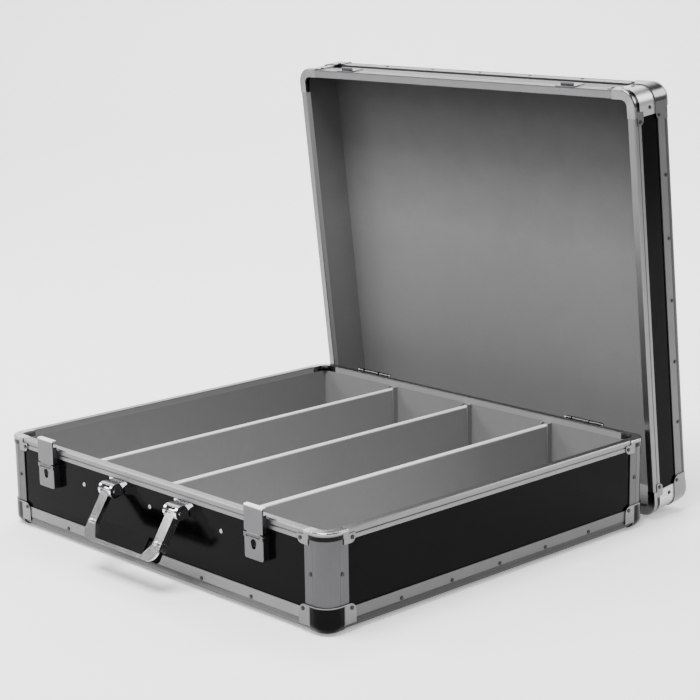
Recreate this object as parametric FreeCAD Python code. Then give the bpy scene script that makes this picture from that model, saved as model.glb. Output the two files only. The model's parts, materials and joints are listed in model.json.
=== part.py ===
import FreeCAD, Part
import math
import os

# Hard case with an aluminium frame: an open base tray with four lanes, a detached lid that stands
# behind it, two hasp latches, a carrying handle and lift-off hinges.
# Millimetres. X runs along the front, Y to the back, Z up. The functions measure from the middle
# of the base's footprint, on the plane that its corner caps rest on. The written parts are moved
# forward by FRAME_Y, so their origin is in the middle of the base, handle and lid together.

V = FreeCAD.Vector
X_AXIS = V(1, 0, 0)
Y_AXIS = V(0, 1, 0)
Z_AXIS = V(0, 0, 1)
ORIGIN = V(0, 0, 0)

# Overall sizes
WIDTH = 520.0            # across the frame flanges
DEPTH = 476.0            # across the frame flanges
BASE_HEIGHT = 101.0      # resting plane to the base's rim
LID_HEIGHT = 63.0        # lid's outer face to its rim
RIM_GAP = 0.4            # between the two rims when the lid is shut
FRAME_Y = 18.263         # from the middle of the base back to the middle of the whole set

# Walls, from the outside in
SKIN = 1.3               # frame flange in front of a panel
PANEL = 6.0
LINING = 2.0
WALL = SKIN + PANEL + LINING
CAP = 1.2                # sheet of a corner cap
FLANGE = 22.5            # reach of the edge angles
EDGE_R = 9.0             # rounding of the edge angles
POST_LEG = 29.0          # reach of the corner posts
POST_R = 17.0            # rounding of the corner posts
CAP_REACH = 37.0         # corner cap, from the flange planes
CAP_TOP = 28.0

# Rim
RIM_BAND = 10.8          # outer leg of the rim
RIM_WEB = 3.4            # thickness over the wall
RIM_INNER = 7.0          # inner leg of the rim
RIM_JOINT = 29.0         # rim bars end this far from the flange planes
RIM_PROUD = 1.0          # rim corner pieces stand out this much

# Dividers
DIVIDER_X = (-125.0, 0.0, 125.0)
DIVIDER = 8.0
DIVIDER_TOP = 91.5
GUIDE_WEB = 1.2
GUIDE_DEEP = 7.0

# Hinge
HINGE_X = (-170.0, 170.0)
HINGE_WIDE = 52.0
HINGE_Y = DEPTH / 2 + 1.2
HINGE_Z = BASE_HEIGHT + RIM_GAP / 2
KNUCKLE_R = 2.4
PIN_R = 0.8
HOOK_CLEAR = 3.6         # relief radius round the hinge axis
KNUCKLE_SPANS = ((-26.0, -18.5), (-15.5, 7.5), (10.5, 26.0))
HOOK_SPANS = ((-18.1, -15.9), (7.9, 10.1))
LID_OPEN = 83.6          # degrees from shut to the stored pose
LID_BACK = 16.4          # the stored lid stands this far behind its hooked place
LID_DOWN = 98.7          # and this far below it

# Latches and handle sit a little left of the middle of the front
FITTINGS_MIDDLE = -6.3

# Latches
LATCH_X = (FITTINGS_MIDDLE - 172.5, FITTINGS_MIDDLE + 172.5)
LATCH_WIDE = 27.4
LATCH_PIN_Z = 81.8
LATCH_PIN_N = 6.0        # pin, out from the flange plane
LOCK_CASE_LOW = 57.2
KEYHOLE_Z = 73.9
HASP_TOP = 111.0
LEDGE_TOP = HASP_TOP - 3.0

# Handle
HANDLE_X = 54.3          # middle of each arm, from the handle's middle
HANDLE_Z = 80.0
HANDLE_N = 10.0          # handle axis, out from the flange plane
HANDLE_TILT = 33.0       # degrees out from hanging
ARM_WIDE = 13.0
HANDLE_DROP = 55.0
BAIL_BAR = 4.0           # height of the bail's lower bar

RIVET_R = 2.2
RIVET_HIGH = 0.8


def box(x0, x1, y0, y1, z0, z1):
    return Part.makeBox(x1 - x0, y1 - y0, z1 - z0, V(x0, y0, z0))


def prism(points, along):
    """A straight prism on a closed outline of points."""
    wire = Part.makePolygon(list(points) + [points[0]])
    return Part.Face(wire).extrude(along)


def rod(radius, start, direction, length):
    return Part.makeCylinder(radius, length, start, direction)


def fused(shapes):
    shape = shapes[0]
    for other in shapes[1:]:
        shape = shape.fuse(other)
    return shape.removeSplitter()


def together(shapes):
    """Separate solids of one node."""
    return Part.makeCompound([solid for shape in shapes for solid in shape.Solids])


def turned(shape, degrees, centre=ORIGIN, axis=Z_AXIS):
    copy = shape.copy()
    copy.rotate(centre, axis, degrees)
    return copy


def moved(shape, x, y, z):
    copy = shape.copy()
    copy.translate(V(x, y, z))
    return copy


def mirrored(shape, normal):
    return shape.mirror(ORIGIN, normal)


def four_corners(shape):
    """The same piece at all four corners, from the one at the front left."""
    right = mirrored(shape, X_AXIS)
    return together([shape, right, mirrored(shape, Y_AXIS), mirrored(right, Y_AXIS)])


def angle_face(leg, radius, sheet, place, groove=0.0):
    """Section of a rounded angle: legs on the u and v axes, corner radius, sheet thickness."""
    mid = radius * (1 - math.sqrt(0.5))
    inner = radius - sheet
    inner_mid = radius - inner * math.sqrt(0.5)
    line = Part.LineSegment
    edges = [Part.Arc(place(radius, 0), place(mid, mid), place(0, radius))]
    at = radius + 1.2
    if groove:
        edges.append(line(place(0, radius), place(0, at - groove)))
        edges.append(line(place(0, at - groove), place(groove, at)))
        edges.append(line(place(groove, at), place(0, at + groove)))
        edges.append(line(place(0, at + groove), place(0, leg)))
    else:
        edges.append(line(place(0, radius), place(0, leg)))
    edges.append(line(place(0, leg), place(sheet, leg)))
    edges.append(line(place(sheet, leg), place(sheet, radius)))
    edges.append(Part.Arc(place(sheet, radius), place(inner_mid, inner_mid), place(radius, sheet)))
    edges.append(line(place(radius, sheet), place(leg, sheet)))
    edges.append(line(place(leg, sheet), place(leg, 0)))
    if groove:
        edges.append(line(place(leg, 0), place(at + groove, 0)))
        edges.append(line(place(at + groove, 0), place(at, groove)))
        edges.append(line(place(at, groove), place(at - groove, 0)))
        edges.append(line(place(at - groove, 0), place(radius, 0)))
    else:
        edges.append(line(place(leg, 0), place(radius, 0)))
    return Part.Face(Part.Wire([edge.toShape() for edge in edges]))


def on_side(shape, side):
    """A piece made for the front, turned to another side."""
    return turned(shape, {"front": 0, "right": 90, "rear": 180, "left": 270}[side])


def reach_of(side):
    return DEPTH / 2 if side in ("front", "rear") else WIDTH / 2


def half_length_of(side):
    return WIDTH / 2 if side in ("front", "rear") else DEPTH / 2


SIDES = ("front", "rear", "left", "right")
SIDES_TURNED_OVER = ("front", "rear", "right", "left")


# ---------------------------------------------------------------- tray pieces, rim upward

def floor_panel():
    """Board that closes the tray, its corners and lower edges eased to clear the metal."""
    out = 4.8 - SKIN
    low = CAP + SKIN
    half_x = WIDTH / 2 - SKIN - out
    half_y = DEPTH / 2 - SKIN - out
    board = box(-half_x, half_x, -half_y, half_y, low, low + PANEL)
    uprights = [e for e in board.Edges if e.BoundBox.ZLength > PANEL / 2]
    board = board.makeFillet(POST_R - SKIN - out, uprights)
    edges = [e for e in board.Edges if abs(e.BoundBox.ZMax - low) < 1e-6]
    return board.makeChamfer(EDGE_R - SKIN - out + 0.1, edges)


def wall_panel(side, height):
    """Board of one wall, standing on the floor panel, with bevelled ends in the posts."""
    reach = reach_of(side)
    half = half_length_of(side)
    low = CAP + SKIN + PANEL
    inner = SKIN + PANEL
    bevel = POST_R - inner + 0.1
    points = [
        V(-half + inner + bevel, -reach + SKIN, low),
        V(half - inner - bevel, -reach + SKIN, low),
        V(half - inner, -reach + inner, low),
        V(-half + inner, -reach + inner, low),
    ]
    board = prism(points, V(0, 0, height - RIM_WEB - low))
    foot = [e for e in board.Edges
            if abs(e.BoundBox.ZMax - low) < 1e-6 and e.BoundBox.YMax < -reach + SKIN + 1e-6]
    return on_side(board.makeChamfer(EDGE_R + CAP - low + 0.1, foot), side)


def wall_linings(height):
    """Four sheets on the inside of the walls."""
    low = CAP + SKIN + PANEL + LINING
    high = height - RIM_INNER
    inner = SKIN + PANEL
    sheets = []
    for side in SIDES:
        reach = reach_of(side)
        half = half_length_of(side) - inner
        if side in ("left", "right"):
            half = half - LINING
        sheets.append(on_side(box(-half, half, -reach + inner, -reach + WALL, low, high), side))
    return together(sheets)


def floor_lining():
    low = CAP + SKIN + PANEL
    half_x = WIDTH / 2 - SKIN - PANEL
    half_y = DEPTH / 2 - SKIN - PANEL
    return box(-half_x, half_x, -half_y, half_y, low, low + LINING)


def edge_angle(side):
    """Rounded angle along one lower edge, between the corner caps."""
    reach = reach_of(side)
    half = half_length_of(side) - (FLANGE + 0.5 if side in ("front", "rear") else POST_R + 1.0)

    def place(u, v):
        return V(-half, -reach + u, CAP + v)

    return on_side(angle_face(FLANGE, EDGE_R, SKIN, place, 0.5).extrude(V(2 * half, 0, 0)), side)


def corner_posts(height):
    """Four upright rounded angles."""
    low = CAP + EDGE_R

    def place(u, v):
        return V(-WIDTH / 2 + u, -DEPTH / 2 + v, low)

    face = angle_face(POST_LEG, POST_R, SKIN, place, 0.5)
    post = face.extrude(V(0, 0, height - RIM_WEB - 0.3 - low))
    # The lower end stands on the side angles, so the flanges start above them.
    skirt = box(POST_R + 0.2, POST_LEG + 1, -1, SKIN + 1, 0, FLANGE + CAP + 0.2)
    skirt = skirt.fuse(box(-1, SKIN + 1, POST_R + 0.2, POST_LEG + 1, 0, FLANGE + CAP + 0.2))
    return four_corners(post.cut(moved(skirt, -WIDTH / 2, -DEPTH / 2, 0)))


def rim_bar(side, height):
    """Rim profile over one wall: outer band with a groove, top web and inner leg."""
    reach = reach_of(side)
    half = half_length_of(side) - RIM_JOINT
    band = height - RIM_BAND
    groove = height - 6.2
    web = height - RIM_WEB
    leg = height - RIM_INNER
    outline = [
        (0, band), (SKIN, band), (SKIN, web), (SKIN + PANEL, web), (SKIN + PANEL, leg),
        (WALL, leg), (WALL, height - 0.8), (WALL - 0.8, height), (1.2, height),
        (0, height - 1.2), (0, groove + 0.6), (0.6, groove), (0, groove - 0.6),
    ]
    points = [V(-half, -reach + u, v) for u, v in outline]
    return on_side(prism(points, V(2 * half, 0, 0)), side)


def rim_corners(height):
    """Four rounded rim corner pieces, each with two riveted tabs."""
    proud = RIM_PROUD

    def place_at(offset, z):
        return lambda u, v: V(-WIDTH / 2 + offset + u, -DEPTH / 2 + offset + v, z)

    top = angle_face(RIM_JOINT + proud, POST_R + proud, WALL + proud,
                     place_at(-proud, height - RIM_WEB))
    top = top.extrude(V(0, 0, RIM_WEB))
    upper_edges = [e for e in top.Edges
                   if e.BoundBox.ZMin > height - 1e-6 and e.BoundBox.XMin < -WIDTH / 2 + 0.5
                   or e.BoundBox.ZMin > height - 1e-6 and e.BoundBox.YMin < -DEPTH / 2 + 0.5]
    outer_edges = [e for e in upper_edges if e.BoundBox.DiagonalLength > 15]
    top = top.makeFillet(1.4, outer_edges)
    skirt = angle_face(RIM_JOINT + proud, POST_R + proud, proud, place_at(-proud, height - 8.4))
    skirt = skirt.extrude(V(0, 0, 8.4 - RIM_WEB))
    leg = angle_face(RIM_JOINT - SKIN - PANEL, POST_R - SKIN - PANEL, LINING,
                     place_at(SKIN + PANEL, height - RIM_INNER))
    leg = leg.extrude(V(0, 0, RIM_INNER - RIM_WEB))
    tab = box(RIM_JOINT - 6, 37.5, -proud, 0, height - 14.2, height - 4.6)
    ends = [e for e in tab.Edges
            if abs(e.BoundBox.XMin - 37.5) < 1e-6 and e.BoundBox.YLength > 0.5
            and e.BoundBox.ZLength < 0.1 and e.BoundBox.ZMin < height - 10]
    tab = tab.makeFillet(6.0, ends)
    tab_x = moved(tab, -WIDTH / 2, -DEPTH / 2, 0)
    tab_y = turned(tab.mirror(ORIGIN, Y_AXIS), 90)
    tab_y = moved(tab_y, -WIDTH / 2, -DEPTH / 2, 0)
    return four_corners(fused([top, skirt, leg, tab_x, tab_y]))


def rounded_block(offset, reach, top):
    """Corner block with its upright edge and its two lower edges rounded."""
    block = box(-offset, reach, -offset, reach, CAP - offset, top)
    upright = [e for e in block.Edges
               if e.BoundBox.ZLength > 5 and e.BoundBox.XMax < 0.1 and e.BoundBox.YMax < 0.1]
    block = block.makeFillet(POST_R + offset, upright)
    low = [e for e in block.Edges
           if e.BoundBox.ZMax < CAP - offset + 1e-6
           and (e.BoundBox.XMin < 0.1 - offset or e.BoundBox.YMin < 0.1 - offset)
           and not (e.BoundBox.XMin > reach - 0.1 or e.BoundBox.YMin > reach - 0.1)]
    return block.makeFillet(EDGE_R + offset, low)


def ear_mask(round_r):
    """Space that keeps a corner cap's ears, with their far upper corners rounded."""
    far = CAP_REACH
    block = box(-5, far, -5, far, -5, CAP_TOP)
    edges = [e for e in block.Edges
             if e.BoundBox.ZMin > CAP_TOP - 1e-6
             and (e.BoundBox.XMin > far - 0.1 or e.BoundBox.YMin > far - 0.1)]
    return block.makeFillet(round_r, edges)


def corner_caps():
    """Four pressed caps over the lower corners."""
    shell = rounded_block(CAP, CAP_REACH, CAP_TOP)
    shell = shell.cut(rounded_block(0.0, CAP_REACH + 5, CAP_TOP + 5))
    shell = shell.common(ear_mask(8.0))
    # The ears stop above the lower rounding, so only the corner itself reaches underneath.
    under = box(24, CAP_REACH + 5, -5, CAP_REACH + 5, -5, CAP + 6.5)
    under = under.fuse(box(-5, 24, 24, CAP_REACH + 5, -5, CAP + 6.5))
    shell = shell.cut(under)
    return four_corners(moved(shell, -WIDTH / 2, -DEPTH / 2, 0))


def rivet(proud=0.0):
    """Domed rivet head on a front face, its middle at the origin."""
    head = rod(RIVET_R, ORIGIN, V(0, -1, 0), RIVET_HIGH)
    rim = [e for e in head.Edges if e.BoundBox.YMax < -RIVET_HIGH + 1e-6]
    return moved(head.makeFillet(RIVET_HIGH * 0.75, rim), 0, -proud, 0)


def tray_rivets(height):
    """Rivet heads along the edge angles, posts, caps and rim tabs of a tray."""
    heads = []
    for side in SIDES:
        reach = reach_of(side)
        half = half_length_of(side)
        row = []
        pitch = 76.0 if side in ("front", "rear") else 70.0
        count = 5
        for index in range(count):
            row.append((pitch * (index - (count - 1) / 2), 14.8, 0.0))
        for sign in (-1, 1):
            row.append((sign * (half - 21.0), height * 0.58, 0.0))
            row.append((sign * (half - 31.5), 23.2, CAP))
            row.append((sign * (half - 33.5), height - 8.8, RIM_PROUD))
        for x, z, proud in row:
            heads.append(on_side(moved(rivet(proud), x, -reach, z), side))
    return heads


# ---------------------------------------------------------------- lid placing

def as_lid(shape):
    """A tray piece turned over to be part of the shut lid, then opened and set down behind."""
    shut = turned(shape, 180, ORIGIN, Y_AXIS)
    shut = moved(shut, 0, 0, BASE_HEIGHT + RIM_GAP + LID_HEIGHT)
    return stored(shut)


def stored(shape):
    """From the shut lid's place to the stored one."""
    opened = turned(shape, -LID_OPEN, V(0, HINGE_Y, HINGE_Z), X_AXIS)
    return moved(opened, 0, LID_BACK, -LID_DOWN)


# ---------------------------------------------------------------- base fittings

def divider_guides():
    """Upright channels on the front and rear linings that hold the dividers' ends."""
    slot = DIVIDER / 2 + 0.4
    wide = slot + 1.5
    low = CAP + SKIN + PANEL + LINING
    high = BASE_HEIGHT - RIM_INNER - 0.2
    inside = DEPTH / 2 - WALL
    guides = []
    for x in DIVIDER_X:
        channel = box(x - wide, x + wide, -inside, -inside + GUIDE_DEEP, low, high)
        cut = box(x - slot, x + slot, -inside + GUIDE_WEB, -inside + GUIDE_DEEP + 1, low - 1, high + 1)
        channel = channel.cut(cut)
        guides.append(channel)
        guides.append(mirrored(channel, Y_AXIS))
    return together(guides)


def divider(x):
    """Lane divider board with an eased top."""
    half = DEPTH / 2 - WALL - GUIDE_WEB - 0.5
    low = CAP + SKIN + PANEL + LINING + 0.3
    board = box(x - DIVIDER / 2, x + DIVIDER / 2, -half, half, low, DIVIDER_TOP)
    edges = [e for e in board.Edges
             if e.BoundBox.ZMin > DIVIDER_TOP - 1e-6 and e.BoundBox.YLength > 10]
    return board.makeFillet(1.5, edges)


def hinge_relief(low_y, low_z, high_z, spare):
    """Space to clear in a rear rim at both hinges."""
    half = HINGE_WIDE / 2 + spare
    return fused([box(x - half, x + half, low_y, HINGE_Y + 10, low_z, high_z) for x in HINGE_X])


def rear_rim():
    bar = rim_bar("rear", BASE_HEIGHT)
    relief = hinge_relief(HINGE_Y - HOOK_CLEAR, HINGE_Z - HOOK_CLEAR, BASE_HEIGHT + 5, 0.8)
    return bar.cut(relief)


def lid_rear_rim():
    """Lid's rim over its rear wall, open right across at the hinge knuckles."""
    bar = rim_bar("rear", LID_HEIGHT)
    relief = hinge_relief(DEPTH / 2 - WALL - 1, LID_HEIGHT - 3.6, LID_HEIGHT + 5, 1.6)
    return as_lid(bar.cut(relief))


def hinge_leaves():
    """Base leaves of the two hinges, each with three rolled knuckles."""
    face = DEPTH / 2
    leaves = []
    for x in HINGE_X:
        plate = box(x - HINGE_WIDE / 2, x + HINGE_WIDE / 2, face, face + 1.2, 84, 97.4)
        pieces = [plate]
        for start, end in KNUCKLE_SPANS:
            pieces.append(rod(KNUCKLE_R, V(x + start, HINGE_Y, HINGE_Z), X_AXIS, end - start))
            pieces.append(box(x + start, x + end, face, face + 1.2, 97.4, HINGE_Z))
        leaf = fused(pieces)
        bore = rod(PIN_R + 0.06, V(x - 40, HINGE_Y, HINGE_Z), X_AXIS, 80)
        leaves.append(leaf.cut(bore))
    return together(leaves)


def hinge_pins():
    """The pins, headed at both ends."""
    pins = []
    for x in HINGE_X:
        half = HINGE_WIDE / 2
        pin = rod(PIN_R, V(x - half - 0.5, HINGE_Y, HINGE_Z), X_AXIS, HINGE_WIDE + 1.0)
        head = rod(1.7, V(x + half + 0.3, HINGE_Y, HINGE_Z), X_AXIS, 1.2)
        tail = rod(1.7, V(x - half - 1.5, HINGE_Y, HINGE_Z), X_AXIS, 1.2)
        pins.append(fused([pin, head, tail]))
    return together(pins)


def lid_hinge_hooks():
    """Lid leaves, each with two open hooks that the pins seat in."""
    face = DEPTH / 2
    leaves = []
    for x in HINGE_X:
        plate = box(x - HINGE_WIDE / 2, x + HINGE_WIDE / 2, face, face + 1.2, 105.6, 118)
        pieces = [plate]
        for start, end in HOOK_SPANS:
            back = HINGE_Y + PIN_R + 0.3
            outline = [
                V(x + start, face, 105.6), V(x + start, HINGE_Y - 1.6, 103.6),
                V(x + start, HINGE_Y - 1.6, HINGE_Z + PIN_R + 0.3),
                V(x + start, back, HINGE_Z + PIN_R + 0.3),
                V(x + start, back, HINGE_Z - PIN_R - 0.4),
                V(x + start, HINGE_Y - 0.4, HINGE_Z - PIN_R - 0.5),
                V(x + start, HINGE_Y - 0.4, HINGE_Z - PIN_R - 1.3),
                V(x + start, back + 1.0, HINGE_Z - PIN_R - 1.3),
                V(x + start, back + 1.0, 103.4), V(x + start, face + 1.2, 105.6),
                V(x + start, face + 1.2, 107), V(x + start, face, 107),
            ]
            pieces.append(prism(outline, V(end - start, 0, 0)))
        leaves.append(fused(pieces))
    return stored(together(leaves))


def hinge_screws():
    """Low rivet heads in the base leaves."""
    heads = []
    for x in HINGE_X:
        for step in (-18, 0, 18):
            start = V(x + step, DEPTH / 2 + 1.2, 90.5)
            heads.append(rod(2.0, start, Y_AXIS, 0.6))
    return heads


def lid_hinge_screws():
    heads = []
    for x in HINGE_X:
        for step in (-18, 0, 18):
            start = V(x + step, DEPTH / 2 + 1.2, 113.0)
            heads.append(rod(2.0, start, Y_AXIS, 0.6))
    return stored(together(heads)).Solids


def front_screws():
    """Screws through the front panel."""
    return [moved(rivet(-SKIN), FITTINGS_MIDDLE + x, -DEPTH / 2, 70.7) for x in (-114.0, 0.0, 114.0)]


def lid_catches():
    """Catch plates on the lid's front rim, each with a ledge that the hasp hooks over."""
    face = -DEPTH / 2
    catches = []
    for x in LATCH_X:
        plate = box(x - 13, x + 13, face - 1.2, face, 102.2, 121)
        ledge = box(x - 9, x + 9, face - 4.4, face - 1.0, LEDGE_TOP - 1.2, LEDGE_TOP)
        catches.append(fused([plate, ledge]))
    return stored(together(catches))


def latch_housing(x):
    """Back plate, lock case and rim plate of a latch, with two ears for the hasp's pin."""
    face = -DEPTH / 2
    half = LATCH_WIDE / 2
    case_top = LATCH_PIN_Z - 2.2
    plate = box(x - half + 0.5, x + half - 0.5, face, face + SKIN, LOCK_CASE_LOW + 1, 90.1)
    rim_plate = box(x - half - 3.0, x + half + 3.0, face - 1.2, face, 91.6, 100.4)
    ends = [e for e in rim_plate.Edges if e.BoundBox.YLength > 1 and e.BoundBox.ZLength < 0.1]
    rim_plate = rim_plate.makeFillet(2.0, ends)
    neck = box(x - half + 3, x + half - 3, face - 1.2, face, 88.0, 93.0)
    case = box(x - half, x + half, face - 7.0, face, LOCK_CASE_LOW, case_top)
    corners = [e for e in case.Edges
               if e.BoundBox.YLength > 5 and e.BoundBox.ZMax < LOCK_CASE_LOW + 9]
    case = case.makeFillet(2.5, corners)
    front = [e for e in case.Edges if e.BoundBox.YMax < face - 6.9]
    case = case.makeFillet(0.8, front)
    pieces = [plate, case, rim_plate, neck]
    for side in (-1, 1):
        inner = x + side * 10.4
        outer = x + side * half
        ear = box(min(inner, outer), max(inner, outer), face - 7.6, face, case_top - 0.8,
                  LATCH_PIN_Z + 1.6)
        pieces.append(ear)
    body = fused(pieces)
    bore = rod(1.0, V(x - 30, face - LATCH_PIN_N, LATCH_PIN_Z), X_AXIS, 60)
    body = body.cut(bore)
    keyway = rod(4.1, V(x, face - 10, KEYHOLE_Z), Y_AXIS, 7.5)
    keyway = keyway.fuse(rod(3.2, V(x, face - 10, KEYHOLE_Z - 3.0), Y_AXIS, 7.5))
    return body.cut(keyway)


def latch_lock(x):
    """Lock plug with its key slot, set back in the case."""
    face = -DEPTH / 2
    plug = rod(3.8, V(x, face - 6.6, KEYHOLE_Z), Y_AXIS, 4.0)
    slot = box(x - 0.5, x + 0.5, face - 8, face - 5.0, KEYHOLE_Z - 2.7, KEYHOLE_Z + 2.7)
    return plug.cut(slot)


def latch_pin(x):
    """Hinge pin of a hasp, with its ends standing out of the ears."""
    half = LATCH_WIDE / 2 + 0.9
    return rod(0.95, V(x - half, -DEPTH / 2 - LATCH_PIN_N, LATCH_PIN_Z), X_AXIS, 2 * half)


def latch_hasp(x):
    """Swinging plate: knuckle round the pin, two side flanges and a top curled to the case."""
    face = -DEPTH / 2
    half = LATCH_WIDE / 2
    out = face - LATCH_PIN_N - 0.9
    plate = box(x - half, x + half, out, out + 1.4, LATCH_PIN_Z + 2.8, HASP_TOP - 1.4)
    web = box(x - 10, x + 10, out, out + 1.4, LATCH_PIN_Z, LATCH_PIN_Z + 3.0)
    knuckle = rod(1.9, V(x - 10, face - LATCH_PIN_N, LATCH_PIN_Z), X_AXIS, 20)
    arm = box(x - half, x + half, out + 1.4, face - 1.9, HASP_TOP - 1.2, HASP_TOP)
    curl = Part.makeCylinder(1.4, 2 * half, V(x - half, out + 1.4, HASP_TOP - 1.4), X_AXIS)
    tip = box(x - 8.5, x + 8.5, face - 3.1, face - 1.9, LEDGE_TOP + 0.6, HASP_TOP)
    pieces = [plate, web, knuckle, arm, curl, tip]
    for side in (-1, 1):
        inner = x + side * (half - 1.2)
        outer = x + side * half
        pieces.append(box(min(inner, outer), max(inner, outer), out + 0.5, face - 1.6,
                          LATCH_PIN_Z + 3.4, LEDGE_TOP - 4.4))
    body = fused(pieces)
    bore = rod(1.03, V(x - 30, face - LATCH_PIN_N, LATCH_PIN_Z), X_AXIS, 60)
    return body.cut(bore)


def handle_feet():
    """Hooded feet riveted to the front panel, each with a pointed base plate."""
    face = -DEPTH / 2
    feet = []
    for sign in (-1, 1):
        x = FITTINGS_MIDDLE + sign * HANDLE_X
        outline = [V(x - 12, face, 74), V(x + 8, face, 74), V(x + 11, face, 82.5),
                   V(x + 18.5, face, 87.6), V(x + 16, face, 89.4), V(x - 12, face, 89.4)]
        plate = prism(outline, V(0, SKIN, 0))
        hood = rod(7.4, V(x - 10.5, face - HANDLE_N + 1.5, HANDLE_Z), X_AXIS, 21)
        hood = hood.fuse(box(x - 10.5, x + 10.5, face - HANDLE_N + 1.5, face + 0.2,
                             HANDLE_Z - 6.0, HANDLE_Z + 7.4))
        slot = box(x - 7.2, x + 7.2, face - 30, face - 0.8, HANDLE_Z - 20, HANDLE_Z + 5.9)
        hood = hood.cut(slot)
        feet.append(fused([plate, hood]))
    pins = fused([rod(1.66, V(FITTINGS_MIDDLE + s * HANDLE_X - 20, face - HANDLE_N, HANDLE_Z),
                      X_AXIS, 40) for s in (-1, 1)])
    return together([foot.cut(pins) for foot in feet])


def handle_pins():
    face = -DEPTH / 2
    return together([rod(1.6, V(FITTINGS_MIDDLE + s * HANDLE_X - 11.2, face - HANDLE_N, HANDLE_Z),
                         X_AXIS, 22.4) for s in (-1, 1)])


def hung(shape):
    """From a hanging handle about its own axis to its place, tilted out."""
    out = moved(shape, FITTINGS_MIDDLE, -DEPTH / 2 - HANDLE_N, HANDLE_Z)
    return turned(out, -HANDLE_TILT, V(0, -DEPTH / 2 - HANDLE_N, HANDLE_Z), X_AXIS)


def handle_bail():
    """Bright bail: two arms with eyes, side returns and a lower edge."""
    outer = HANDLE_X + ARM_WIDE / 2
    inner = HANDLE_X - ARM_WIDE / 2
    plate = box(-outer, outer, -3.4, -1.2, -HANDLE_DROP, -3)
    corners = [e for e in plate.Edges if e.BoundBox.YLength > 2 and e.BoundBox.ZMax < -50]
    plate = plate.makeFillet(13.0, corners)
    window = box(-inner, inner, -10, 10, -HANDLE_DROP + BAIL_BAR, 10)
    gussets = []
    for sign in (-1, 1):
        points = [V(sign * inner, -10, -HANDLE_DROP + BAIL_BAR),
                  V(sign * (inner - 9), -10, -HANDLE_DROP + BAIL_BAR),
                  V(sign * inner, -10, -HANDLE_DROP + 18)]
        gussets.append(prism(points, V(0, 20, 0)))
    window = window.cut(gussets[0]).cut(gussets[1])
    frame = plate.cut(window)
    pieces = [frame]
    for sign in (-1, 1):
        x = sign * HANDLE_X
        pieces.append(rod(3.4, V(x - ARM_WIDE / 2, 0, 0), X_AXIS, ARM_WIDE))
        edge = sign * (outer - 0.9)
        pieces.append(box(min(edge, sign * outer) - 0.0, max(edge, sign * outer), -3.4, 6.0,
                          -HANDLE_DROP + 13, -6))
        side = sign * (inner + 0.9)
        pieces.append(box(min(side, sign * inner), max(side, sign * inner), -3.4, 2.0,
                          -HANDLE_DROP + 19.4, -4))
    bail = fused(pieces)
    bail = bail.cut(rod(1.66, V(-outer - 5, 0, 0), X_AXIS, 2 * outer + 10))
    return hung(bail)


def handle_grip():
    """Dark moulded grip behind and above the bail's lower edge."""
    inner = HANDLE_X - ARM_WIDE / 2 - 0.05
    low = -HANDLE_DROP + 1.2
    back = box(-inner - 7, inner + 7, -1.2, 9.0, low, low + 18)
    rounds = [e for e in back.Edges if e.BoundBox.XLength > 50 and e.BoundBox.YMin > 8.5]
    back = back.makeFillet(4.0, rounds)
    front = box(-inner + 9, inner - 9, -2.6, -1.0, -HANDLE_DROP + BAIL_BAR + 0.05, low + 22)
    front = front.fuse(box(-inner + 9, inner - 9, -1.2, 3.0, low + 17, low + 22))
    return hung(fused([back, front]))


# ---------------------------------------------------------------- all nodes

def tray(prefix, height, place, rear, side_names):
    """The pieces that base and lid share, each side under its own name."""
    nodes = {}
    nodes[prefix + "_corner_posts"] = place(corner_posts(height))
    nodes[prefix + "_corner_caps"] = place(corner_caps())
    nodes[prefix + "_rim_corners"] = place(rim_corners(height))
    nodes[prefix + "_lining_walls"] = place(wall_linings(height))
    for side, name in zip(SIDES, side_names):
        nodes[prefix + "_panel_" + name] = place(wall_panel(side, height))
        nodes[prefix + "_edge_" + name] = place(edge_angle(side))
        if side != "rear":
            nodes[prefix + "_rim_" + name] = place(rim_bar(side, height))
    nodes[prefix + "_rim_rear"] = rear
    return nodes


def same(shape):
    return shape


def all_nodes():
    nodes = tray("base", BASE_HEIGHT, same, rear_rim(), SIDES)
    nodes["base_floor"] = floor_panel()
    nodes["base_lining_floor"] = floor_lining()
    nodes["base_rivets"] = together(tray_rivets(BASE_HEIGHT) + hinge_screws() + front_screws())
    nodes["divider_guides"] = divider_guides()
    nodes["hinge_leaves"] = hinge_leaves()
    nodes["hinge_pins"] = hinge_pins()
    nodes.update(tray("lid", LID_HEIGHT, as_lid, lid_rear_rim(), SIDES_TURNED_OVER))
    nodes["lid_top"] = as_lid(floor_panel())
    nodes["lid_lining_top"] = as_lid(floor_lining())
    lid_heads = [as_lid(head) for head in tray_rivets(LID_HEIGHT)]
    nodes["lid_rivets"] = together(lid_heads + lid_hinge_screws())
    nodes["lid_hinge_hooks"] = lid_hinge_hooks()
    nodes["lid_catches"] = lid_catches()
    for name, x in zip(("left", "middle", "right"), DIVIDER_X):
        nodes["divider_" + name] = divider(x)
    for name, x in zip(("left", "right"), LATCH_X):
        nodes["latch_housing_" + name] = latch_housing(x)
        nodes["latch_lock_" + name] = latch_lock(x)
        nodes["latch_pin_" + name] = latch_pin(x)
        nodes["latch_hasp_" + name] = latch_hasp(x)
    nodes["handle_feet"] = handle_feet()
    nodes["handle_pins"] = handle_pins()
    nodes["handle_bail"] = handle_bail()
    nodes["handle_grip"] = handle_grip()
    return nodes


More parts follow.
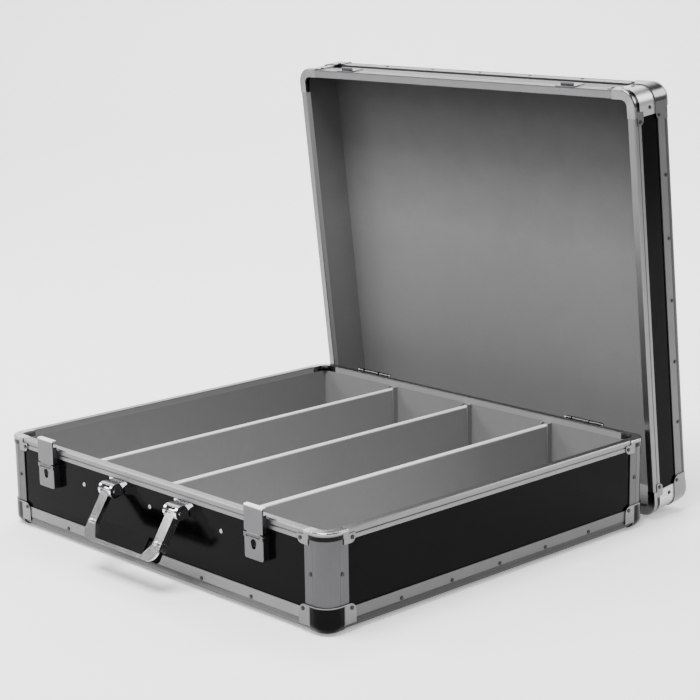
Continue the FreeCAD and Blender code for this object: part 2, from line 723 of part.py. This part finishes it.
os.makedirs("parts", exist_ok=True)
for node, built in all_nodes().items():
    shape = moved(built, 0, -FRAME_Y, 0)
    shape.exportStep("parts/" + node + ".step")
    bounds = shape.BoundBox
    print("%-24s solids %2d  volume %10.1f  X %7.1f %7.1f  Y %7.1f %7.1f  Z %7.1f %7.1f  %s" % (
        node, len(shape.Solids), shape.Volume, bounds.XMin, bounds.XMax, bounds.YMin, bounds.YMax,
        bounds.ZMin, bounds.ZMax, "ok" if shape.isValid() else "INVALID"))
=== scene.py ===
import json
import math

import bmesh
import bpy
from mathutils import Matrix, Vector


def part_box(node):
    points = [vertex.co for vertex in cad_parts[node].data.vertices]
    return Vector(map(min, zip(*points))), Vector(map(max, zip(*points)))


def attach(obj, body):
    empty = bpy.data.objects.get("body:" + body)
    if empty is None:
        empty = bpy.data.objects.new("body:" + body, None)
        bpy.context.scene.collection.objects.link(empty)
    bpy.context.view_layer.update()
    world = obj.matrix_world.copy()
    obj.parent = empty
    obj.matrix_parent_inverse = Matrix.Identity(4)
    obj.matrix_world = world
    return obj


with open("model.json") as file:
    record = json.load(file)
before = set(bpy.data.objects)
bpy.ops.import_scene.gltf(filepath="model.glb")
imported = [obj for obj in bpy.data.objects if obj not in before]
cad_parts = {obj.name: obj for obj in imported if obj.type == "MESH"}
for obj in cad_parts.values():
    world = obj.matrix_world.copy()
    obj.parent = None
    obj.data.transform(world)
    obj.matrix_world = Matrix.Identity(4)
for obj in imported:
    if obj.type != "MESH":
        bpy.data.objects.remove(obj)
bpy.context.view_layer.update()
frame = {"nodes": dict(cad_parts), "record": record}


# Panels. The base's floor, the lid's top and the eight walls are plywood boards faced with glossy
# black laminate and let into the metal frame. The laminate has a faint ripple, scuffs and dust.
floor_low, floor_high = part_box("base_floor")
foot_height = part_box("base_corner_caps")[0][2]
middle = Vector(((floor_low[0] + floor_high[0]) / 2, (floor_low[1] + floor_high[1]) / 2, foot_height))


class Value:
    """One socket of a finish. Sums and products of values add Math nodes."""

    def __init__(self, finish, socket):
        self.finish = finish
        self.socket = socket

    def _math(self, operation, first, second=0.0, clamp=False):
        return self.finish.node("ShaderNodeMath", {"operation": operation, "use_clamp": clamp},
                                {0: first, 1: second})

    def __add__(self, other):
        return self._math("ADD", self, other)

    def __radd__(self, other):
        return self._math("ADD", other, self)

    def __sub__(self, other):
        return self._math("SUBTRACT", self, other)

    def __rsub__(self, other):
        return self._math("SUBTRACT", other, self)

    def __mul__(self, other):
        return self._math("MULTIPLY", self, other)

    def __rmul__(self, other):
        return self._math("MULTIPLY", other, self)

    def at_least(self, other):
        return self._math("MAXIMUM", self, other)

    def magnitude(self):
        return self._math("ABSOLUTE", self)

    def clamped(self):
        return self._math("ADD", self, 0.0, clamp=True)

    def step(self, low, high):
        """0 below low, 1 above high, and straight between them."""
        return self.finish.node("ShaderNodeMapRange", {"clamp": True},
                                {0: self, 1: low, 2: high, 3: 0.0, 4: 1.0})

    def between(self, low, high, soft):
        """1 from low to high, fading to 0 over the soft distance outside them."""
        return self.step(low - soft, low) * (1.0 - self.step(high, high + soft))


def in_base(finish):
    """A surface's place from the middle of the base's foot."""
    return finish.vector("SUBTRACT", finish.built, tuple(middle))


class Finish:
    """One material with a Principled shader. Its place says where on the case a surface is."""

    def __init__(self, name, shade, roughness, metallic=0.0, measured=in_base, **fixed):
        self.material = bpy.data.materials.new(name)
        self.material.use_nodes = True
        self.tree = self.material.node_tree
        self.shader = self.tree.nodes["Principled BSDF"]
        self.shader.inputs["Base Color"].default_value = (*shade, 1.0)
        self.shader.inputs["Roughness"].default_value = roughness
        self.shader.inputs["Metallic"].default_value = metallic
        for socket, amount in fixed.items():
            self.shader.inputs[socket.replace("_", " ")].default_value = amount
        self.built = self.node("ShaderNodeTexCoord", {}, {}, "Object")
        self.place = measured(self)

    def node(self, kind, settings, sockets, output=0):
        """Adds a node, sets it up, then feeds its sockets with values or links."""
        made = self.tree.nodes.new(kind)
        for name, setting in settings.items():
            setattr(made, name, setting)
        for key, fed in sockets.items():
            if isinstance(fed, Value):
                self.tree.links.new(fed.socket, made.inputs[key])
            else:
                made.inputs[key].default_value = fed
        return Value(self, made.outputs[output])

    def vector(self, operation, first, second):
        return self.node("ShaderNodeVectorMath", {"operation": operation}, {0: first, 1: second})

    def noise(self, size, detail=3.0, rough=0.55, scale=(1.0, 1.0, 1.0)):
        """Noise with features about size metres across, and longer along an axis of small scale."""
        return self.node("ShaderNodeTexNoise", {"noise_dimensions": "3D"},
                         {"Vector": self.vector("MULTIPLY", self.place, scale), "Scale": 1.0 / size,
                          "Detail": detail, "Roughness": rough})

    def axis(self, index):
        return self.node("ShaderNodeSeparateXYZ", {}, {0: self.place}, index)

    def blend(self, mask, low, high):
        """Colour between low and high."""
        low, high = (shade if isinstance(shade, Value) else (*shade, 1.0) for shade in (low, high))
        return self.node("ShaderNodeMix", {"data_type": "RGBA", "blend_type": "MIX"},
                         {0: mask, 6: low, 7: high}, 2)

    def feed(self, socket, value):
        self.tree.links.new(value.socket, self.shader.inputs[socket])

    def paint(self, colour):
        self.colour = colour
        self.feed("Base Color", colour)

    def stain(self, mask, shade):
        """Lays a shade over the colour so far, where the mask is 1."""
        self.paint(self.blend(mask, self.colour, shade))

    def bump(self, height, depth, strength=0.5):
        self.feed("Normal", self.node("ShaderNodeBump", {}, {"Height": height, "Distance": depth,
                                                             "Strength": strength}))


def dress(finish, *nodes, ease=0.0):
    """Gives nodes a finish, and eases their sharp edges by the given radius."""
    for node in nodes:
        holder = frame["nodes"][node]
        holder.data.materials.clear()
        holder.data.materials.append(finish.material)
        if ease:
            rounding = holder.modifiers.new("eased_edges", "BEVEL")
            rounding.width = ease
            rounding.segments = 2
            rounding.limit_method = "ANGLE"
            rounding.angle_limit = math.radians(40.0)
            rounding.harden_normals = False


clean_black = (0.0008, 0.0008, 0.0008)
dusty_black = (0.0035, 0.0035, 0.0036)
laminate = Finish("black_laminate", clean_black, 0.14, Specular_IOR_Level=0.035)
ripple = laminate.noise(0.018, 2.0)
scuffs = laminate.noise(0.004, 6.0, 0.7, (0.4, 1.0, 1.0)).step(0.60, 0.74)
dust = laminate.noise(0.09, 5.0, 0.65).step(0.45, 0.75)
laminate.paint(laminate.blend(dust * 0.30 + scuffs * 0.15, clean_black, dusty_black))
laminate.feed("Roughness", 0.12 + scuffs * 0.16 + dust * 0.08)
laminate.bump(ripple * 0.8 + scuffs * 0.05, 0.00012)
dress(laminate, "base_floor", "lid_top")
for side in ("front", "rear", "left", "right"):
    dress(laminate, "base_panel_" + side, "lid_panel_" + side)


# Linings. Thin grey felt glued over the inside of the boards, with a fine fibre and slight
# blotches. Shade is painted on it: darker towards the rear of the base, and a painted shadow near the
# front wall of the lid.
ACROSS, INWARD, UPRIGHT = 0, 1, 2
half_deep = (floor_high[1] - floor_low[1]) / 2
base_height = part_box("base_rim_corners")[1][2]
lid_height = 0.063
rim_gap = 0.0004

# The lid is hung on the hinge, opened, lifted off its pins and set down behind the base.
joints = {joint["name"]: joint for joint in frame["record"]["behaviour"]["joints"]}
hinge = Vector(joints["lid_hinge"]["pos_m"])
lid_open = math.radians(-joints["lid_hinge"]["range_deg"][0])
slide = joints["lid_lift_off"]
lid_drop = -Vector(slide["axis"]).normalized() * slide["range_m"][1]
shut_top = middle + Vector((0, 0, base_height + rim_gap + lid_height))


def in_lid(finish):
    """A surface's place in a shut lid turned over to lie like the base: rim up, top board down."""
    moved = finish.vector("SUBTRACT", finish.built, tuple(hinge + lid_drop))
    turned = finish.node("ShaderNodeVectorRotate", {"rotation_type": "X_AXIS"},
                         {"Vector": moved, "Angle": lid_open})
    shut = finish.vector("ADD", turned, tuple(hinge - shut_top))
    return finish.vector("MULTIPLY", shut, (-1.0, 1.0, -1.0))


def dimmed(shade, share):
    return tuple(min(1.0, channel * share) for channel in shade)


def felt(name, shade, measured=in_base):
    made = Finish(name, shade, 0.92, 0.0, measured, Specular_IOR_Level=0.15, Sheen_Weight=0.12,
                  Sheen_Roughness=0.5)
    fibre = made.noise(0.0011, 5.0, 0.7)
    weave = made.noise(0.0035, 3.0, 0.6, (1.0, 1.0, 0.35))
    made.blotches = made.noise(0.035, 4.0, 0.6)
    tone = (fibre - 0.5) * 0.34 + (made.blotches - 0.5) * 0.22 + (weave - 0.5) * 0.16 + 0.5
    made.paint(made.blend(tone.clamped(), dimmed(shade, 0.72), dimmed(shade, 1.28)))
    made.feed("Roughness", 0.86 + fibre * 0.12)
    made.bump(fibre * 0.7 + weave * 0.5, 0.00035, 0.55)
    return made


def felt_in_base(name, shade):
    made = felt(name, shade)
    # Painted shade: the felt darkens towards the rear, where the standing lid shades it.
    rear_shade = made.axis(INWARD).step(-half_deep, half_deep)
    made.stain(rear_shade * 0.55, dimmed(shade, 0.45))
    return made


lid_felt = (0.16, 0.16, 0.16)
shadow_fades_from = 0.02 - half_deep
shadow_ends = 0.20 - half_deep
lid_lining = felt("lid_felt", lid_felt, in_lid)
from_front = lid_lining.axis(INWARD) + lid_lining.blotches * 0.02
# Painted shadow: the lid's lining darkens near its front wall, whose overhang shades the open lid.
front_wall_shadow = 1.0 - from_front.step(shadow_fades_from, shadow_ends)
lid_lining.stain(front_wall_shadow * 0.93, dimmed(lid_felt, 0.14))
dress(lid_lining, "lid_lining_walls", "lid_lining_top")
base_felt = (0.27, 0.27, 0.27)
dress(felt_in_base("grey_felt", base_felt), "base_lining_walls", "base_lining_floor")


# Dividers and their guides. Three felt-faced boards stand between felt-covered strips glued to the
# front and rear walls, and lift out. The dividers' top edges are painted paler.
divider_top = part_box("divider_middle")[1][2]
pale_depth = 0.0016
pale_through = 0.0002
divider_felt = felt_in_base("divider_felt", (0.37, 0.37, 0.37))
# Paler colour painted along the dividers' top edges.
pale_top_edge = divider_felt.axis(UPRIGHT).step(divider_top - pale_depth, divider_top - pale_through)
divider_felt.stain(pale_top_edge * (0.75 + (divider_felt.blotches - 0.5) * 0.4), (0.62, 0.62, 0.62))
dress(divider_felt, "divider_left", "divider_middle", "divider_right")
dress(felt_in_base("guide_felt", base_felt), "divider_guides")


# Edge angles. Extruded aluminium, satin anodised, riveted along the lower edges of the base and the
# outer edges of the lid. Die lines run along them, and shade is painted dark where they turn under.
trays = (("base_", in_base), ("lid_", in_lid))


def drawn(name, shade, roughness, along, measured=in_base):
    """Metal drawn through a die, with lines along one axis and cloudy handling marks."""
    made = Finish(name, shade, roughness, 1.0, measured)
    lines = made.noise(0.0009, 4.0, 0.7, tuple(0.006 if i == along else 1.0 for i in range(3)))
    clouds = made.noise(0.03, 4.0, 0.6)
    marks = made.noise(0.006, 6.0, 0.75).step(0.62, 0.76)
    tone = (lines - 0.5) * 0.5 + (clouds - 0.5) * 0.5 + 0.55 - marks * 0.25
    made.paint(made.blend(tone.clamped(), dimmed(shade, 0.72), dimmed(shade, 1.18)))
    made.feed("Roughness", roughness + (lines - 0.5) * 0.16 + marks * 0.12)
    made.bump(lines + marks * 0.3, 0.00006)
    return made


def edge_angle(name, shade, along, measured):
    made = drawn(name, shade, 0.42, along, measured)
    # Painted shade: darker below the line where the angle turns under.
    turned_under_shade = 1.0 - made.axis(UPRIGHT).step(shade_line_height, shade_line_height + 0.001)
    made.stain(turned_under_shade * 0.9, dimmed(shade, 0.38))
    return made


shade_line_height = 0.012
angle_shade = (0.185, 0.185, 0.187)
# Painted shade: the side angles are a darker, shaded copy of the front and rear ones.
side_shaded_darker = dimmed(angle_shade, 0.62)
for tray, measured in trays:
    dress(edge_angle(tray + "edge_along_front", angle_shade, ACROSS, measured),
          tray + "edge_front", tray + "edge_rear")
    dress(edge_angle(tray + "edge_along_side", side_shaded_darker, INWARD, measured),
          tray + "edge_left", tray + "edge_right")


# Corner posts. Rounded extrusions of the same aluminium, riveted over the upright joints of the
# boards. The lid's are painted much paler than the base's: painted reflection on the lid's, painted
# shade on the base's.
# Painted light: one aluminium, painted dark for the base's posts and pale for the lid's.
post_lit_and_shaded = {"base_": (0.078, 0.078, 0.08), "lid_": (0.42, 0.42, 0.425)}
for tray, measured in trays:
    dress(drawn(tray + "post", post_lit_and_shaded[tray], 0.36, UPRIGHT, measured), tray + "corner_posts")


# Rims. Aluminium channels pressed over the top edge of the walls, so that base and lid meet metal
# to metal. A dark line of painted shade marks a groove along the outer leg, and the inner leg is
# faced in grey like the lining.
rim_shade = (0.165, 0.165, 0.168)
rim_ease = 0.0011
groove_depth = 0.0062
groove_half = 0.0002
groove_soft = 0.0010
lining_low, lining_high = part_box("base_lining_walls")
lining_half = ((lining_high[0] - lining_low[0]) / 2, (lining_high[1] - lining_low[1]) / 2)


def rim(name, along, top, measured):
    made = drawn(name, rim_shade, 0.34, along, measured)
    height = made.axis(UPRIGHT)
    groove_centre = top - groove_depth
    # Painted shade: a dark line where a groove runs along the outer leg.
    groove_shade = height.between(groove_centre - groove_half, groove_centre + groove_half, groove_soft)
    made.stain(groove_shade, dimmed(rim_shade, 0.28))
    facing = 1 - along
    wall = lining_half[facing]
    within_wall = 1.0 - made.axis(facing).magnitude().step(wall - 0.0006, wall)
    inner_leg = within_wall * (1.0 - height.step(top - 0.0012, top - 0.0006))
    made.stain(inner_leg, base_felt)
    made.feed("Metallic", 1.0 - inner_leg)
    return made


rim_tops = {"base_": base_height, "lid_": lid_height}
for tray, measured in trays:
    dress(rim(tray + "rim_along_front", ACROSS, rim_tops[tray], measured),
          tray + "rim_front", tray + "rim_rear", ease=rim_ease)
    dress(rim(tray + "rim_along_side", INWARD, rim_tops[tray], measured),
          tray + "rim_left", tray + "rim_right", ease=rim_ease)


# Corner caps. Pressed steel shells over the bottom corners of the base and the outer corners of the
# lid, plated and riveted by their ears. The base's are painted dark where they turn the corner and
# under, as painted reflection and shade.
half_wide = (floor_high[0] - floor_low[0]) / 2
turn_ends = (0.0165, 0.0185)


def plated(name, shade, roughness, wave=0.0003, measured=in_base):
    """Plated steel, with soft dents from the press, hairline scratches and a haze."""
    made = Finish(name, shade, roughness, 1.0, measured)
    made.dents = made.noise(0.011, 2.0, 0.5)
    scratches = made.noise(0.0022, 6.0, 0.8, (1.0, 0.25, 1.0)).step(0.60, 0.70)
    haze = made.noise(0.02, 5.0, 0.65)
    made.paint(made.blend((haze * 0.7 + scratches * 0.3).clamped(), dimmed(shade, 1.08),
                          dimmed(shade, 0.78)))
    made.feed("Roughness", roughness + haze * 0.10 + scratches * 0.18)
    made.bump(made.dents + scratches * 0.04, wave, 0.4)
    return made


def turned_corner(made):
    """1 where a corner piece rounds the corner, 0 on its flat ears."""
    from_end = half_wide - made.axis(ACROSS).magnitude()
    from_face = half_deep - made.axis(INWARD).magnitude()
    return (1.0 - from_end.step(*turn_ends)) * (1.0 - from_face.step(*turn_ends))


cap_shade = (0.15, 0.15, 0.153)
cap_turns_under = (0.006, 0.0085)
cap_lip = (0.0264, 0.0272)
base_cap = plated("base_cap_plating", cap_shade, 0.18)
# Painted reflection and shade: the base's caps are dark round the corner and along their undersides.
underside_shade = 1.0 - base_cap.axis(UPRIGHT).step(*cap_turns_under)
bright_lip = base_cap.axis(UPRIGHT).step(*cap_lip)
base_cap.stain(turned_corner(base_cap).at_least(underside_shade) * (1.0 - bright_lip),
               dimmed(cap_shade, 0.035))
dress(base_cap, "base_corner_caps")
dress(plated("lid_cap_plating", cap_shade, 0.18, measured=in_lid), "lid_corner_caps")


# Rim corners. Pressed and plated like the caps, and riveted over the ends of the rims. Each has a
# painted highlight along the lip at its top and painted shade in the hollow below it where it rounds
# the corner.
# How much brighter the painted highlight on each lip is.
lip_highlight_gain = {"base_": 3.4, "lid_": 1.5}
for tray, measured in trays:
    corner = plated(tray + "rim_corner_plating", cap_shade, 0.16, measured=measured)
    below_top = rim_tops[tray] - corner.axis(UPRIGHT)
    # Painted shade in the hollow under the lip.
    hollow_shade = below_top.step(0.0034, 0.0042)
    corner.stain(turned_corner(corner) * hollow_shade, dimmed(cap_shade, 0.06))
    # Painted highlight along the lip, uneven with the dents.
    lip_highlight = 1.0 - below_top.step(0.0014, 0.0026)
    uneven = (0.55 + (corner.dents - 0.5) * 1.6).clamped()
    corner.stain(lip_highlight * uneven, dimmed(cap_shade, lip_highlight_gain[tray]))
    dress(corner, tray + "rim_corners", ease=0.0004)


# Rivets and panel screws. Domed steel heads through the frame, duller and darker than the metal
# round them. The screws across the middle of the front panel are painted bright as highlights.
screw_low, screw_high = 0.0675, 0.0745
screws_reach = 0.20
heads = plated("rivet_steel", (0.035, 0.035, 0.036), 0.30)
# Painted highlight: the screw heads across the middle of the front panel are made bright.
screw_highlights = heads.axis(UPRIGHT).between(screw_low, screw_high, 0.0005)
screw_highlights = screw_highlights * (1.0 - heads.axis(INWARD).step(0.001 - half_deep, 0.0015 - half_deep))
screw_highlights = screw_highlights * (1.0 - heads.axis(ACROSS).magnitude().step(screws_reach, screws_reach + 0.01))
heads.stain(screw_highlights, (0.38, 0.38, 0.39))
dress(heads, "base_rivets", "lid_rivets")


# Hinges. Leaves and open hooks of satin nickel-plated steel strip, screwed to the rear rims. The
# hooks drop over bright steel pins, so the lid lifts off.
nickel_shade = (0.105, 0.105, 0.108)
nickel = drawn("satin_nickel", nickel_shade, 0.30, UPRIGHT)
dress(nickel, "hinge_leaves", "lid_hinge_hooks", ease=0.0003)
bright = plated("bright_plating", (0.70, 0.70, 0.71), 0.10, 0.00006)
dress(bright, "hinge_pins")


# Latches. A nickel-plated housing on the front wall holds a dark lock plug, and a hasp on a pin
# closes up over the catch on the lid. The top bend of each hasp is painted bright as a highlight.
dress(nickel, "latch_housing_left", "latch_housing_right", "lid_catches", ease=0.0003)
bend_height = 0.0022
hasp_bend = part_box("latch_hasp_left")[1][2] - bend_height
hasp = drawn("hasp_nickel", nickel_shade, 0.30, UPRIGHT)
# Painted highlight along the hasp's top bend.
hasp.stain(hasp.axis(UPRIGHT).step(hasp_bend, hasp_bend + 0.001), (0.75, 0.75, 0.76))
dress(hasp, "latch_hasp_left", "latch_hasp_right", ease=0.0005)
dress(plated("lock_plug", (0.004, 0.004, 0.004), 0.5), "latch_lock_left", "latch_lock_right")
dress(bright, "latch_pin_left", "latch_pin_right")


# Handle. A bright plated steel bail hangs on pins in two feet screwed to the front wall. Its grip
# is black plastic with a fine grain, and is held by a small domed stud through each arm.
dress(bright, "handle_bail", "handle_feet", "handle_pins")

moulded = Finish("black_grip", (0.004, 0.004, 0.004), 0.42, Specular_IOR_Level=0.06)
grain = moulded.noise(0.0009, 3.0, 0.6)
rubbed = moulded.noise(0.02, 4.0, 0.6)
moulded.paint(moulded.blend(rubbed, (0.0012, 0.0012, 0.0012), (0.004, 0.004, 0.004)))
moulded.feed("Roughness", 0.34 + rubbed * 0.2)
moulded.bump(grain, 0.0002, 0.4)
dress(moulded, "handle_grip")

stud_radius = 0.0026
stud_flatness = 0.45
stud_below_pin = 0.036
stud_proud = 0.0036
arm_middle = 0.0065
bail_low, bail_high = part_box("handle_bail")
pivot = Vector(joints["handle_swing"]["pos_m"])
down_arm = Vector((0.0, bail_low.y - pivot.y, bail_low.z - pivot.z)).normalized()
out_of_arm = down_arm.cross(Vector((1, 0, 0))).normalized()
if out_of_arm.y > 0:
    out_of_arm = -out_of_arm
for end, arm_x in (("left", bail_low.x + arm_middle), ("right", bail_high.x - arm_middle)):
    dome = bmesh.new()
    bmesh.ops.create_uvsphere(dome, u_segments=24, v_segments=12, radius=stud_radius)
    stud_mesh = bpy.data.meshes.new("handle_stud_" + end)
    dome.to_mesh(stud_mesh)
    dome.free()
    for face in stud_mesh.polygons:
        face.use_smooth = True
    stud_mesh.materials.append(bright.material)
    stud = bpy.data.objects.new("handle_stud_" + end, stud_mesh)
    bpy.context.scene.collection.objects.link(stud)
    spot = Vector((arm_x, pivot.y, pivot.z)) + down_arm * stud_below_pin + out_of_arm * stud_proud
    stud.matrix_world = Matrix.Translation(spot)
    stud.rotation_mode = "QUATERNION"
    stud.rotation_quaternion = out_of_arm.to_track_quat("Z", "Y")
    stud.scale = (1.0, 1.0, stud_flatness)
    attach(stud, "handle")


# Camera. It stands to the right of the case's front, a little above the lid's middle, and looks
# down across the open lanes.
camera_data = bpy.data.cameras.new("camera")
camera_data.lens = 96.093
camera_data.shift_x = -0.07735
camera_data.shift_y = -0.01344
camera_data.clip_start = 0.05
camera = bpy.data.objects.new("camera", camera_data)
bpy.context.scene.collection.objects.link(camera)
stand = middle + Vector((1.47358, -1.33364, 0.64305))
backward = Vector((0.694457, -0.68667, 0.214975)).normalized()
rightward = Vector((0.704474, 0.709673, -0.008913)).normalized()
upward = backward.cross(rightward).normalized()
rightward = upward.cross(backward)
aim = Matrix((rightward, upward, backward)).transposed()
camera.matrix_world = Matrix.Translation(stand) @ aim.to_4x4()
bpy.context.scene.camera = camera


# Stage. A pale sheet under the case, laid flat towards the camera and curved up into a wall behind.
# Each row of the sweep is how far it lies towards the camera, and how high.
sweep = [(14.0, 0.0), (-2.2, 0.0), (-2.9, 0.12), (-3.4, 0.5), (-3.6, 1.1), (-3.6, 5.0)]
half_sweep = 14.0
below_foot = 0.0004
towards = Vector((backward.x, backward.y, 0.0)).normalized()
sideways = Vector((-towards.y, towards.x, 0.0))
sheet = bmesh.new()
rows = []
for reach, height in sweep:
    centre = middle + towards * reach + Vector((0, 0, height - below_foot))
    rows.append([sheet.verts.new(centre + sideways * side) for side in (-half_sweep, half_sweep)])
for near, far in zip(rows, rows[1:]):
    sheet.faces.new((near[0], near[1], far[1], far[0]))
sheet_mesh = bpy.data.meshes.new("floor")
sheet.to_mesh(sheet_mesh)
sheet.free()
for face in sheet_mesh.polygons:
    face.use_smooth = True
ground = bpy.data.objects.new("floor", sheet_mesh)
bpy.context.scene.collection.objects.link(ground)
paper = Finish("pale_floor", (0.93, 0.93, 0.93), 0.9, Specular_IOR_Level=0.1,
               Emission_Color=(1.0, 1.0, 1.0, 1.0), Emission_Strength=0.35)
sheet_mesh.materials.append(paper.material)


# Light. A dim grey room, a broad soft lamp above the front, weaker ones to the left, right and
# rear, and one that washes the wall.
room = bpy.data.worlds.new("room")
bpy.context.scene.world = room
room.use_nodes = True
room.node_tree.nodes["Background"].inputs["Color"].default_value = (0.9, 0.9, 0.9, 1.0)
room.node_tree.nodes["Background"].inputs["Strength"].default_value = 0.22


def lamp(name, place, target, size, power):
    data = bpy.data.lights.new(name, "AREA")
    data.shape = "RECTANGLE"
    data.size, data.size_y = size
    data.energy = power
    holder = bpy.data.objects.new(name, data)
    bpy.context.scene.collection.objects.link(holder)
    holder.location = middle + Vector(place)
    holder.rotation_euler = (Vector(target) - Vector(place)).to_track_quat("-Z", "Y").to_euler()


lamp("overhead", (0.1, -0.9, 2.8), (0.0, 0.0, 0.1), (1.6, 1.2), 155.0)
lamp("front_left", (-1.7, -1.2, 1.5), (0.0, 0.0, 0.1), (1.1, 0.9), 33.0)
lamp("front_right", (1.4, -1.9, 1.3), (0.0, 0.0, 0.1), (0.8, 0.7), 9.0)
lamp("rear_right", (1.3, 2.0, 1.5), (0.1, 0.3, 0.3), (1.3, 1.0), 34.0)
lamp("wall", (-1.2, 1.4, 3.2), (-2.2, 2.2, 0.3), (2.4, 1.6), 160.0)
